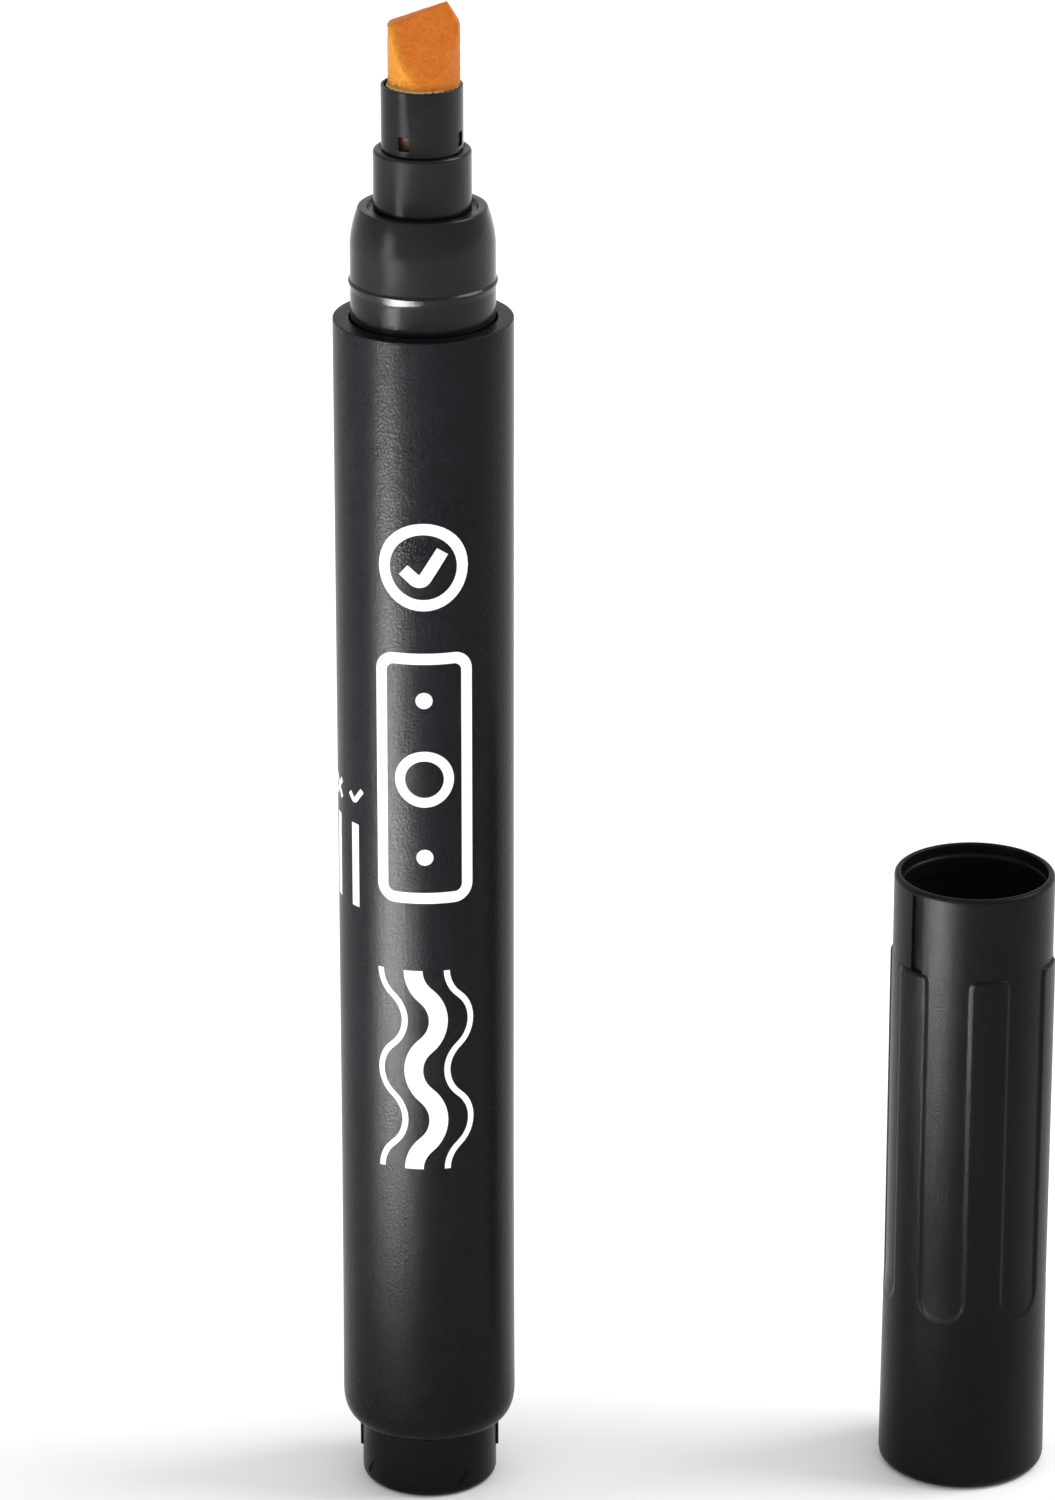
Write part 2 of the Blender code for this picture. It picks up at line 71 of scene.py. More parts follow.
class Signal:
    """An output socket of a node, on which Python's arithmetic adds Math nodes."""

    def __init__(self, socket):
        self.socket = socket

    def node(self, kind, settings, inputs, output=0):
        """Add a node to the same tree: its settings first, then the values or links of its sockets."""
        tree = self.socket.id_data
        made = tree.nodes.new(kind)
        for name, value in settings.items():
            setattr(made, name, value)
        for name, value in inputs.items():
            if isinstance(value, Signal):
                tree.links.new(value.socket, made.inputs[name])
            else:
                made.inputs[name].default_value = value
        return Signal(made.outputs[output])

    def maths(self, operation, first, second=0.0):
        """One Math node on a value, or on two."""
        return self.node("ShaderNodeMath", {"operation": operation}, {0: first, 1: second})

    def __add__(self, other):
        return self.maths("ADD", self, other)

    __radd__ = __add__

    def __sub__(self, other):
        return self.maths("SUBTRACT", self, other)

    def __rsub__(self, other):
        return self.maths("SUBTRACT", other, self)

    def __mul__(self, other):
        return self.maths("MULTIPLY", self, other)

    __rmul__ = __mul__

    def ramp(self, low, high):
        """0 up to low, 1 from high on, and a smooth rise between them."""
        settings = {"interpolation_type": "SMOOTHSTEP"}
        return self.node("ShaderNodeMapRange", settings, {"Value": self, "From Min": low, "From Max": high})

    def between(self, first, second):
        """The colour that this value, from 0 to 1, picks on the way from one colour to another."""
        return self.node("ShaderNodeMix", {"data_type": "RGBA"}, {0: self, 6: first, 7: second}, 2)

    def grain(self, size, detail=2.0, stretch=None):
        """Cloudy noise on these coordinates, with features of that size in metres."""
        place = self
        if stretch:
            place = self.node("ShaderNodeVectorMath", {"operation": "MULTIPLY"}, {0: self, 1: stretch})
        settings = {"Vector": place, "Scale": 1.0 / size, "Detail": detail}
        return place.node("ShaderNodeTexNoise", {}, settings)

    def bump(self, strength, depth):
        """The surface normal that this height gives, from 0 to a depth in metres."""
        return self.node("ShaderNodeBump", {}, {"Height": self, "Strength": strength, "Distance": depth})


def material(name, constants):
    """Make a material; returns it with its shader's sockets and the Object coordinates."""
    made = bpy.data.materials.new(name)
    made.use_nodes = True
    sockets = made.node_tree.nodes["Principled BSDF"].inputs
    for socket, value in constants.items():
        sockets[socket].default_value = value
    place = Signal(made.node_tree.nodes.new("ShaderNodeTexCoord").outputs["Object"])
    return made, sockets, place


def feed(sockets, **signals):
    """Link signals to a shader's sockets; an underscore in a name stands for a space."""
    for name, signal in signals.items():
        socket = sockets[name.replace("_", " ")]
        signal.socket.id_data.links.new(signal.socket, socket)


board, sockets, place = material("white_board", {"Roughness": 0.7, "Specular IOR Level": 0.2})
feed(sockets, Base_Color=place.grain(60 * MM).between((0.90, 0.895, 0.89, 1.0), (0.92, 0.915, 0.91, 1.0)))

shape = bmesh.new()
bmesh.ops.create_grid(shape, x_segments=1, y_segments=1, size=FLOOR_SIZE / 2,
                      matrix=Matrix.Translation((0.0, 0.0, -FLOOR_DROP)))
floor = bpy.data.objects.new("floor", bpy.data.meshes.new("floor"))
shape.to_mesh(floor.data)
shape.free()
floor.data.materials.append(board)
bpy.context.scene.collection.objects.link(floor)


# Light: an even white room, a large softbox at the right that throws long soft shadows to the left, a
# low strip at the front left, and a gridded strip that hangs over the board at the front left: the pool
# that it makes on the board is what the black plastic shows as its long highlight.
ROOM_LIGHT = 0.90
SOFTBOXES = (
    # name, middle (x, y, z) in mm, point it faces, turn about Z, width, height, spread in degrees, watts
    ("key", (1350, 100, 1250), (0, 0, 30), 0.0, 950, 950, 180.0, 24.0),
    ("left", (-420, -300, 60), (0, 0, 60), 0.0, 150, 260, 180.0, 0.6),
    ("pool", (-114, -110, 400), (-114, -110, 0), -58.0, 70, 175, 11.0, 3.0),
)

world = bpy.data.worlds.new("room")
bpy.context.scene.world = world
world.use_nodes = True
background = world.node_tree.nodes["Background"]
background.inputs["Color"].default_value = (1.0, 1.0, 1.0, 1.0)
background.inputs["Strength"].default_value = ROOM_LIGHT
bpy.context.scene.view_settings.view_transform = "Standard"


def turn_to(azimuth):
    """The turn about Z that brings the front, -Y, round to an azimuth in degrees towards +X."""
    return Matrix.Rotation(math.radians(azimuth), 4, "Z")


for name, middle, target, turn, width, height, spread, watts in SOFTBOXES:
    lamp = bpy.data.lights.new(name, "AREA")
    lamp.shape = "RECTANGLE"
    lamp.size = width * MM
    lamp.size_y = height * MM
    lamp.spread = math.radians(spread)
    lamp.energy = watts
    softbox = bpy.data.objects.new(name, lamp)
    bpy.context.scene.collection.objects.link(softbox)
    softbox.location = Vector(middle) * MM
    aim = (Vector(target) - Vector(middle)).to_track_quat("-Z", "Y")
    softbox.rotation_euler = (turn_to(turn).to_quaternion() @ aim).to_euler()


# Barrel: the black tube that the hand holds, injection moulded in polypropylene with a satin skin. Its
# wall draws in very slightly to a waist, its lower end is rounded in over the tail plug, and six ribs
# inside keep the ink store central.
barrel_low, barrel_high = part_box("barrel")
BARREL_FOOT = barrel_low.z
BARREL_LENGTH = barrel_high.z - barrel_low.z
BARREL_RADIUS = barrel_high.x
BARREL_BORE = BARREL_RADIUS - 1.15 * MM
WAIST_HEIGHT = 16.0 * MM
WAIST_RADIUS = BARREL_RADIUS - 0.065 * MM
SHOULDER_WIDTH = 1.05 * MM
SHOULDER_HEIGHT = 1.9 * MM
BARREL_STEPS = 192
RIB_FOOT = 8.3 * MM
RIB_TOP = 75.7 * MM
RIB_TIP = BARREL_BORE - 0.4 * MM
RIB_SPREAD = 10.0
RIB_AZIMUTHS = range(0, 360, 60)


def arc(centre, radii, start, end, steps):
    """Points on an ellipse as (radius, height), from one angle in degrees to another."""
    points = []
    for step in range(steps + 1):
        angle = math.radians(start + (end - start) * step / steps)
        points.append((centre[0] + radii[0] * math.cos(angle), centre[1] + radii[1] * math.sin(angle)))
    return points


def turned(outline, steps, foot, first=0.0):
    """Turn a profile about Z. Its points are (radius, height) or (radius, height, rounding); it closes on
    itself unless it starts and ends on the axis. The first facet starts at that azimuth."""
    shape = bmesh.new()
    corners = [shape.verts.new((0.0, -point[0], foot + point[1])) for point in outline]
    ring = outline[0][0] > 0.0
    for start, end in zip(corners, corners[1:] + corners[:1] * ring):
        shape.edges.new((start, end))
    for corner, point in zip(corners, outline):
        if len(point) > 2:
            bmesh.ops.bevel(shape, geom=[corner], affect="VERTICES", offset=point[2], segments=4,
                            profile=0.5, material=-1)
    bmesh.ops.transform(shape, matrix=turn_to(first), verts=shape.verts)
    bmesh.ops.spin(shape, geom=shape.verts[:] + shape.edges[:], axis=(0.0, 0.0, 1.0), angle=math.tau,
                   steps=steps, use_merge=True)
    bmesh.ops.remove_doubles(shape, verts=shape.verts, dist=0.0001 * MM)
    bmesh.ops.dissolve_degenerate(shape, edges=shape.edges, dist=0.0001 * MM)
    bmesh.ops.recalc_face_normals(shape, faces=shape.faces)
    return shape


def azimuth_of(point):
    """The azimuth of a point about Z, in degrees from the front towards +X."""
    return math.degrees(math.atan2(point.x, -point.y))


def wall_faces(shape, radius, low, high, middles, spread):
    """Faces of the wall of that radius, between two heights, no further round than half the spread from
    one of the middle azimuths."""
    found = []
    for face in shape.faces:
        centre = face.calc_center_median()
        if low < centre.z < high and abs(centre.xy.length - radius) < 0.01 * MM:
            offsets = [abs((azimuth_of(centre) - middle + 180.0) % 360.0 - 180.0) for middle in middles]
            if min(offsets) < spread / 2:
                found.append(face)
    return found


def raise_faces(shape, faces, radius, to_radius):
    """Raise or sink patches of a round wall to another radius, as straight-sided ribs or pockets."""
    grown = bmesh.ops.extrude_face_region(shape, geom=faces)["geom"]
    bmesh.ops.delete(shape, geom=faces, context="FACES_ONLY")
    moved = [item for item in grown if isinstance(item, bmesh.types.BMVert)]
    ratio = to_radius / radius
    bmesh.ops.scale(shape, vec=(ratio, ratio, 1.0), verts=moved)
    return [item for item in grown if isinstance(item, bmesh.types.BMFace)]


def piece(name, shape, finish, body, slot, *nodes, sharp=40.0):
    """Make a finished shape a piece of the object, on its body and in place of its CAD nodes."""
    mesh = bpy.data.meshes.new(name)
    shape.to_mesh(mesh)
    shape.free()
    mesh.shade_smooth()
    mesh.set_sharp_from_angle(angle=math.radians(sharp))
    mesh.materials.append(finish)
    made = bpy.data.objects.new(name, mesh)
    bpy.context.scene.collection.objects.link(made)
    even = made.modifiers.new("even_shading", "WEIGHTED_NORMAL")
    even.keep_sharp = True
    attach(made, body)
    if nodes:
        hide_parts(*nodes)
    return made


satin, sockets, place = material("satin_polypropylene", {"Specular IOR Level": 0.075, "IOR": 1.49})
skin = place.grain(0.22 * MM, 2.0)
flow = place.grain(0.5 * MM, 2.0, (1.0, 1.0, 0.03))
touch = place.grain(7.0 * MM, 3.0)
feed(sockets, Base_Color=touch.between((0.0026, 0.0030, 0.0035, 1.0), (0.0036, 0.0041, 0.0048, 1.0)),
     Roughness=0.22 + 0.05 * skin + 0.05 * touch + 0.03 * flow,
     Normal=(skin + 0.5 * flow).bump(0.6, 0.04 * MM))

outline = [(BARREL_RADIUS, BARREL_LENGTH, 0.07 * MM), (WAIST_RADIUS, WAIST_HEIGHT, 5.0 * MM)]
outline += [(BARREL_RADIUS - 0.01 * MM, SHOULDER_HEIGHT + 0.1 * MM)]
outline += arc((BARREL_RADIUS - SHOULDER_WIDTH, SHOULDER_HEIGHT),
               (SHOULDER_WIDTH - 0.02 * MM, SHOULDER_HEIGHT), 0, -80, 12)
outline += [(BARREL_BORE + 0.08 * MM, 0.0, 0.04 * MM), (BARREL_BORE, 0.12 * MM)]
outline += [(BARREL_BORE, RIB_FOOT), (BARREL_BORE, RIB_TOP), (BARREL_BORE, BARREL_LENGTH, 0.05 * MM)]
shape = turned(outline, BARREL_STEPS, BARREL_FOOT, 180.0 / BARREL_STEPS)
ribs = wall_faces(shape, BARREL_BORE, BARREL_FOOT + RIB_FOOT, BARREL_FOOT + RIB_TOP, RIB_AZIMUTHS,
                  RIB_SPREAD)
raise_faces(shape, ribs, BARREL_BORE, RIB_TIP)
piece("barrel_tube", shape, satin, "pen", "satin_black", "barrel")


# Print: white ink, screen printed on the barrel so that it runs down the pen's length. A tick in a ring, a
# banknote's outline and a bold wavy stroke between two thin ones, with a key of two short rows at the left.
INK_PROUD = 0.015 * MM
INK_DEPTH = 0.030 * MM
SHEET_FOOT = 5.1 * MM  # where the barrel's foot comes on the flat sheet of ink
BOLD_STROKE = 0.85 * MM
KEY_STROKE = 0.8 * MM
THIN_STROKE = 0.4 * MM
NOTE_LENGTH = 18.6 * MM
NOTE_WIDTH = 6.4 * MM
NOTE_CORNER = 1.0 * MM


def walk(sheet, start, heading, width, moves):
    """Draw one stroke of ink on the flat sheet, X across and Y up the barrel: its cut end is swept along
    straight runs and round turns to the left, or to the right where the angle is negative."""
    side = Vector((-math.sin(math.radians(heading)), math.cos(math.radians(heading)), 0.0))
    middle = Vector((*start, 0.0))
    cut = [sheet.verts.new(middle + side * width * share) for share in (-0.5, 0.0, 0.5)]
    geom = cut + [sheet.edges.new(cut[:2]), sheet.edges.new(cut[1:])]
    for kind, amount, angle in moves:
        turn = math.radians(angle)
        along = Vector((math.cos(math.radians(heading)), math.sin(math.radians(heading)), 0.0))
        side = Vector((-along.y, along.x, 0.0))
        if kind == "run":
            steps = max(1, round(amount / (0.5 * MM)))
            geom = bmesh.ops.spin(sheet, geom=geom, dvec=along * amount / steps, angle=0.0, steps=steps,
                                  axis=(0.0, 0.0, 1.0), cent=middle)["geom_last"]
            middle = middle + along * amount
        else:
            hub = middle + side * math.copysign(amount, turn)
            steps = max(2, round(abs(angle) / 9.0))
            geom = bmesh.ops.spin(sheet, geom=geom, axis=(0.0, 0.0, 1.0), cent=hub, angle=turn,
                                  steps=steps)["geom_last"]
            middle = hub + Matrix.Rotation(turn, 3, "Z") @ (middle - hub)
            heading += angle


def disc(sheet, centre, radius):
    """A round spot of ink."""
    bmesh.ops.create_circle(sheet, cap_ends=True, cap_tris=True, segments=40, radius=radius,
                            matrix=Matrix.Translation((*centre, 0.0)))


def box_moves(length, width, corner):
    """The moves round a rectangle with rounded corners, from the middle of a long side."""
    half = ("run", length / 2 - corner, 0.0)
    bend = ("turn", corner, 90.0)
    short = ("run", width - 2 * corner, 0.0)
    return [half, bend, short, bend, half, half, bend, short, bend, half]


sheet = bmesh.new()
# the tick in its ring
walk(sheet, (0.0, 72.4 * MM), 0.0, BOLD_STROKE, [("turn", 2.9 * MM, 360.0)])
walk(sheet, (-1.45 * MM, 75.1 * MM), -42.0, 0.95 * MM, [("run", 1.1 * MM, 0.0), ("turn", 0.5 * MM, 100.0),
                                                       ("run", 2.4 * MM, 0.0)])
# the banknote, lengthways, with a ring in its middle and a spot at each end
walk(sheet, (NOTE_WIDTH / 2, 59.0 * MM), 90.0, BOLD_STROKE, box_moves(NOTE_LENGTH, NOTE_WIDTH, NOTE_CORNER))
walk(sheet, (0.0, 57.2 * MM), 0.0, 0.75 * MM, [("turn", 1.8 * MM, 360.0)])
for level in (52.9, 65.1):
    disc(sheet, (0.0, level * MM), 0.62 * MM)
# the wavy strokes
for offset, width in ((-2.5, 0.45), (0.0, 1.4), (2.5, 0.45)):
    wave = [("turn", 2.6 * MM, angle) for angle in (-50.0, 50.0, 50.0, -50.0)]
    walk(sheet, ((offset - 0.93) * MM, 28.0 * MM), 90.0, width * MM, wave * 2)
# the key
for across, level in ((-5.9, 54.6), (-8.6, 54.6)):
    walk(sheet, (across * MM, level * MM), -90.0, KEY_STROKE, [("run", 6.5 * MM, 0.0)])
walk(sheet, (-6.55 * MM, 56.9 * MM), -45.0, THIN_STROKE, [("run", 0.55 * MM, 0.0),
                                                         ("turn", 0.25 * MM, 95.0),
                                                         ("run", 1.1 * MM, 0.0)])
for across, level, heading, length in ((-9.3, 56.0, 45.0, 1.98), (-9.3, 57.4, -45.0, 0.75),
                                       (-8.43, 56.53, -45.0, 0.75)):
    walk(sheet, (across * MM, level * MM), heading, THIN_STROKE, [("run", length * MM, 0.0)])

bmesh.ops.remove_doubles(sheet, verts=sheet.verts, dist=0.001 * MM)
for vert in sheet.verts:
    across, level = vert.co.x, vert.co.y
    height = BARREL_FOOT + level - SHEET_FOOT
    drawn = (level - SHEET_FOOT - WAIST_HEIGHT) / (BARREL_LENGTH - WAIST_HEIGHT)
    radius = WAIST_RADIUS + (BARREL_RADIUS - WAIST_RADIUS) * drawn + INK_PROUD
    vert.co = turn_to(math.degrees(across / radius)) @ Vector((0.0, -radius, height))
bmesh.ops.recalc_face_normals(sheet, faces=sheet.faces)
for face in sheet.faces:
    centre = face.calc_center_median()
    if face.normal.dot(Vector((centre.x, centre.y, 0.0))) < 0.0:
        face.normal_flip()
bmesh.ops.solidify(sheet, geom=sheet.faces[:], thickness=INK_DEPTH)

white_ink, sockets, place = material("white_ink", {"Specular IOR Level": 0.4})
mottle = place.grain(0.35 * MM, 3.0)
feed(sockets, Base_Color=mottle.between((0.80, 0.80, 0.79, 1.0), (0.90, 0.90, 0.89, 1.0)),
     Roughness=0.42 + 0.15 * mottle,
     Normal=mottle.bump(0.2, 0.01 * MM))
piece("barrel_print", sheet, white_ink, "pen", None)


# Tail plug: the black cup pressed into the barrel's lower end, which the pen stands on. Two ribs grip
# the barrel, and four short slanted notches are left by the tool that presses it home.
plug_low, plug_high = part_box("tail_plug")
PLUG_HEIGHT = plug_high.z - plug_low.z
PLUG_RADIUS = 5.07 * MM
PLUG_INSIDE = 4.07 * MM
PLUG_FLOOR = 1.6 * MM
PLUG_EDGE = 0.6 * MM
PLUG_RIB_TIP = plug_high.x
PLUG_RIB_FOOT = 2.2 * MM
HOLLOW_RADIUS = 4.0 * MM
HOLLOW_DEPTH = 0.12 * MM
GATE_RADIUS = 0.6 * MM
GATE_DEPTH = 0.04 * MM
NOTCH_SIZE = (0.34 * MM, 0.26 * MM, 1.3 * MM)
NOTCH_HEIGHT = 1.35 * MM
NOTCH_SLANT = 35.0
NOTCH_AZIMUTHS = (30.0, 120.0, 210.0, 300.0)


def cutter(blocks, size, radius, height, azimuth, slant, corner):
    """Add a block with rounded edges to a set of cutters; its size is across, radial and up."""
    made = bmesh.ops.create_cube(blocks, size=1.0, matrix=Matrix.Diagonal((*size, 1.0)))["verts"]
    edges = list({edge for vert in made for edge in vert.link_edges})
    rounded = bmesh.ops.bevel(blocks, geom=edges, affect="EDGES", offset=corner, segments=3, profile=0.5,
                              material=-1)
    made = list({vert for face in rounded["faces"] for vert in face.verts})
    lean = Matrix.Rotation(math.radians(slant), 4, "Y")
    place = turn_to(azimuth) @ Matrix.Translation((0.0, -radius, height)) @ lean
    bmesh.ops.transform(blocks, matrix=place, verts=made)


def carrier_of(shape):
    """A passing object that carries a shape while a modifier works on it."""
    mesh = bpy.data.meshes.new("carrier")
    shape.to_mesh(mesh)
    shape.free()
    carrier = bpy.data.objects.new("carrier", mesh)
    bpy.context.scene.collection.objects.link(carrier)
    return carrier


def taken_off(*carriers):
    """The first carrier's shape with its modifiers applied; the carriers are removed."""
    evaluated = carriers[0].evaluated_get(bpy.context.evaluated_depsgraph_get())
    result = bmesh.new()
    result.from_mesh(evaluated.to_mesh())
    evaluated.to_mesh_clear()
    for carrier in carriers:
        mesh = carrier.data
        bpy.data.objects.remove(carrier)
        bpy.data.meshes.remove(mesh)
    return result


def carved(shape, blocks):
    """Cut a set of blocks out of a shape."""
    carrier, tool = carrier_of(shape), carrier_of(blocks)
    cut = carrier.modifiers.new("cut", "BOOLEAN")
    cut.object = tool
    cut.solver = "EXACT"
    return taken_off(carrier, tool)


outline = [(0.0, PLUG_FLOOR), (PLUG_INSIDE, PLUG_FLOOR, 0.4 * MM), (PLUG_INSIDE, PLUG_HEIGHT, 0.1 * MM)]
outline += [(PLUG_RADIUS, PLUG_HEIGHT, 0.3 * MM), (PLUG_RADIUS, PLUG_RIB_FOOT)]
outline += arc((PLUG_RADIUS - PLUG_EDGE, PLUG_EDGE), (PLUG_EDGE, PLUG_EDGE), 0, -90, 8)
outline += [(HOLLOW_RADIUS, 0.0, 0.05 * MM), (HOLLOW_RADIUS - 0.1 * MM, HOLLOW_DEPTH, 0.05 * MM)]
outline += [(GATE_RADIUS + 0.1 * MM, HOLLOW_DEPTH, 0.05 * MM), (GATE_RADIUS, GATE_DEPTH, 0.04 * MM)]
outline += [(0.0, GATE_DEPTH)]
shape = turned(outline, BARREL_STEPS, plug_low.z)
grips = wall_faces(shape, PLUG_RADIUS, PLUG_RIB_FOOT, PLUG_HEIGHT - 0.3 * MM, (90.0, -90.0), 7.0)
raised = raise_faces(shape, grips, PLUG_RADIUS, PLUG_RIB_TIP)
rims = [edge for edge in {edge for face in raised for edge in face.edges}
        if sum(face in raised for face in edge.link_faces) == 1]
bmesh.ops.bevel(shape, geom=rims, affect="EDGES", offset=0.06 * MM, segments=2, profile=0.5, material=-1)
blocks = bmesh.new()
for azimuth in NOTCH_AZIMUTHS:
    cutter(blocks, NOTCH_SIZE, PLUG_RADIUS, NOTCH_HEIGHT, azimuth, NOTCH_SLANT, 0.1 * MM)
piece("tail_plug_cup", carved(shape, blocks), satin, "pen", "satin_black", "tail_plug")


# Front section: the glossy black holder pressed into the barrel. Its ridge snaps under the cap's bead,
# the dome and collar seal in the cap's liner, and the thin socket holds the nib between crush ribs, with
# four windows that let air in as the ink goes out.
section_low, section_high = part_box("front_section")
SECTION_LEVEL = BARREL_FOOT + BARREL_LENGTH
SECTION_FOOT = section_low.z - SECTION_LEVEL
SOCKET_TOP = section_high.z - SECTION_LEVEL
RIDGE_RADIUS = section_high.x
SECTION_RADIUS = RIDGE_RADIUS - 0.16 * MM
CHAMBER_RADIUS = SECTION_RADIUS - 0.8 * MM
COLLAR_RADIUS = 3.52 * MM
SOCKET_RADIUS = 2.93 * MM
NIB_BORE = 2.77 * MM
DOME_FOOT = 5.6 * MM
LEDGE = 8.25 * MM
COLLAR_TOP = 12.5 * MM
CRUSH_RIBS = 32
CRUSH_LENGTH = 1.6 * MM
WINDOW_SIZE = (0.85 * MM, 1.0 * MM, 1.05 * MM)
WINDOW_HEIGHT = COLLAR_TOP + 0.975 * MM
WINDOW_AZIMUTHS = (-26.0, 67.0, 154.0, 247.0)

outline = [(SOCKET_RADIUS, SOCKET_TOP, 0.06 * MM), (SOCKET_RADIUS, COLLAR_TOP - 0.14 * MM, 0.04 * MM)]
outline += [(3.06 * MM, COLLAR_TOP - 0.14 * MM, 0.04 * MM), (3.16 * MM, COLLAR_TOP, 0.06 * MM)]
outline += [(COLLAR_RADIUS, COLLAR_TOP, 0.24 * MM), (COLLAR_RADIUS, LEDGE - 0.32 * MM, 0.05 * MM)]
outline += [(3.86 * MM, LEDGE - 0.32 * MM, 0.08 * MM), (4.02 * MM, LEDGE, 0.07 * MM)]
outline += [(4.62 * MM, LEDGE, 0.10 * MM), (5.07 * MM, 7.1 * MM, 1.1 * MM), (SECTION_RADIUS, DOME_FOOT)]
outline += [(SECTION_RADIUS, DOME_FOOT - 0.04 * MM), (SECTION_RADIUS, 2.97 * MM, 0.03 * MM)]
outline += [(RIDGE_RADIUS, 2.8 * MM, 0.05 * MM), (SECTION_RADIUS, 2.3 * MM, 0.08 * MM)]
outline += [(SECTION_RADIUS, SECTION_FOOT, 0.3 * MM), (CHAMBER_RADIUS, SECTION_FOOT, 0.1 * MM)]
outline += [(CHAMBER_RADIUS, LEDGE - 1.3 * MM, 0.3 * MM), (NIB_BORE, LEDGE - 1.3 * MM, 0.1 * MM)]
outline += [(NIB_BORE, SOCKET_TOP - CRUSH_LENGTH), (NIB_BORE, SOCKET_TOP, 0.04 * MM)]
shape = turned(outline, BARREL_STEPS, SECTION_LEVEL)
crush = wall_faces(shape, NIB_BORE, section_high.z - CRUSH_LENGTH, section_high.z - 0.02 * MM,
                   [(360.0 * number + 180.0) / CRUSH_RIBS for number in range(CRUSH_RIBS)], 4.5)
raise_faces(shape, crush, NIB_BORE, NIB_BORE - 0.10 * MM)
blocks = bmesh.new()
for azimuth in WINDOW_AZIMUTHS:
    cutter(blocks, WINDOW_SIZE, SOCKET_RADIUS, SECTION_LEVEL + WINDOW_HEIGHT, azimuth, 0.0, 0.06 * MM)

gloss, sockets, place = material("gloss_polypropylene", {"Specular IOR Level": 0.2, "IOR": 1.49})
skin = place.grain(0.3 * MM, 2.0)
touch = place.grain(3.0 * MM, 3.0)
feed(sockets, Base_Color=touch.between((0.0022, 0.0026, 0.0031, 1.0), (0.0032, 0.0037, 0.0044, 1.0)),
     Roughness=0.14 + 0.06 * skin + 0.07 * touch,
     Normal=skin.bump(0.5, 0.02 * MM))
piece("nib_holder", carved(shape, blocks), gloss, "pen", "gloss_black", "front_section")


# Nib: a rod of bonded felt, cut to a chisel whose edge slants and whose high corner is bevelled off. It
# leans on the right of its bore, and it reaches down into the ink store.
nib_low, nib_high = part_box("nib")
NIB_AXIS = (nib_low.x + nib_high.x) / 2
NIB_RADIUS = (nib_high.x - nib_low.x) / 2
NIB_LENGTH = nib_high.z - nib_low.z
NIB_PEAK = 1.66 * MM
NIB_TIP_THICKNESS = 0.3 * MM
NIB_TAPER = 1.5 * MM
NIB_TAIL_SHARE = 0.73
WEDGE_ANGLE = math.radians(24.0)
SLANT_ANGLE = math.radians(21.0)
HEEL_ANGLE = math.radians(61.5)
FELT_VOXEL = 0.11 * MM
BEAD_LIMIT = 0.2 * MM

shape = bmesh.new()
rod = NIB_LENGTH - NIB_TAPER
bmesh.ops.create_cone(shape, cap_ends=True, segments=96, radius1=NIB_RADIUS, radius2=NIB_RADIUS, depth=rod,
                      matrix=Matrix.Translation((0.0, 0.0, NIB_TAPER + rod / 2)))
base = min(shape.faces, key=lambda face: face.calc_center_median().z)
taper = bmesh.ops.extrude_discrete_faces(shape, faces=[base])["faces"][0]
bmesh.ops.scale(shape, vec=(NIB_TAIL_SHARE, NIB_TAIL_SHARE, 1.0), verts=taper.verts)
bmesh.ops.translate(shape, vec=(0.0, 0.0, -NIB_TAPER), verts=taper.verts)
peak = Vector((NIB_PEAK, 0.0, NIB_LENGTH))
half_tip = Vector((0.0, NIB_TIP_THICKNESS / 2, 0.0))
cuts = [(peak - half_tip, Vector((0.0, -math.cos(WEDGE_ANGLE), math.sin(WEDGE_ANGLE)))),
        (peak + half_tip, Vector((0.0, math.cos(WEDGE_ANGLE), math.sin(WEDGE_ANGLE)))),
        (peak, Vector((-math.sin(SLANT_ANGLE), 0.0, math.cos(SLANT_ANGLE)))),
        (peak, Vector((math.sin(HEEL_ANGLE), 0.0, math.cos(HEEL_ANGLE))))]
for point, normal in cuts:
    bmesh.ops.bisect_plane(shape, geom=shape.verts[:] + shape.edges[:] + shape.faces[:], dist=0.0001 * MM,
                           plane_co=point, plane_no=normal, clear_outer=True)
    bmesh.ops.holes_fill(shape, edges=[edge for edge in shape.edges if edge.is_boundary], sides=0)
bmesh.ops.recalc_face_normals(shape, faces=shape.faces)
bmesh.ops.translate(shape, vec=(NIB_AXIS, 0.0, nib_low.z), verts=shape.verts)


def remeshed(shape, voxel):
    """The same solid in even small faces."""
    carrier = carrier_of(shape)
    remesh = carrier.modifiers.new("even", "REMESH")
    remesh.mode = "VOXEL"
    remesh.voxel_size = voxel
    return taken_off(carrier)


# beads of felt squeezed up between the crush ribs, larger where the gap to the bore is wider
for azimuth in range(-80, 36, 11):
    gap = 0.17 * MM - 0.15 * MM * math.sin(math.radians(azimuth))
    bead = turn_to(azimuth) @ Matrix.Translation((0.0, -NIB_RADIUS, section_high.z + 0.02 * MM))
    bead = Matrix.Translation((NIB_AXIS, 0.0, 0.0)) @ bead
    bmesh.ops.create_icosphere(shape, subdivisions=2, radius=min(gap, BEAD_LIMIT), matrix=bead)
shape = remeshed(shape, FELT_VOXEL)
bmesh.ops.smooth_vert(shape, verts=shape.verts, factor=0.5, use_axis_x=True, use_axis_y=True,
                      use_axis_z=True)
shape.normal_update()
for vert in shape.verts:
    tuft = noise.noise(vert.co / (0.33 * MM)) + 0.5 * noise.noise(vert.co / (0.16 * MM))
    vert.co += vert.normal * (tuft * 0.022 - 0.01) * MM

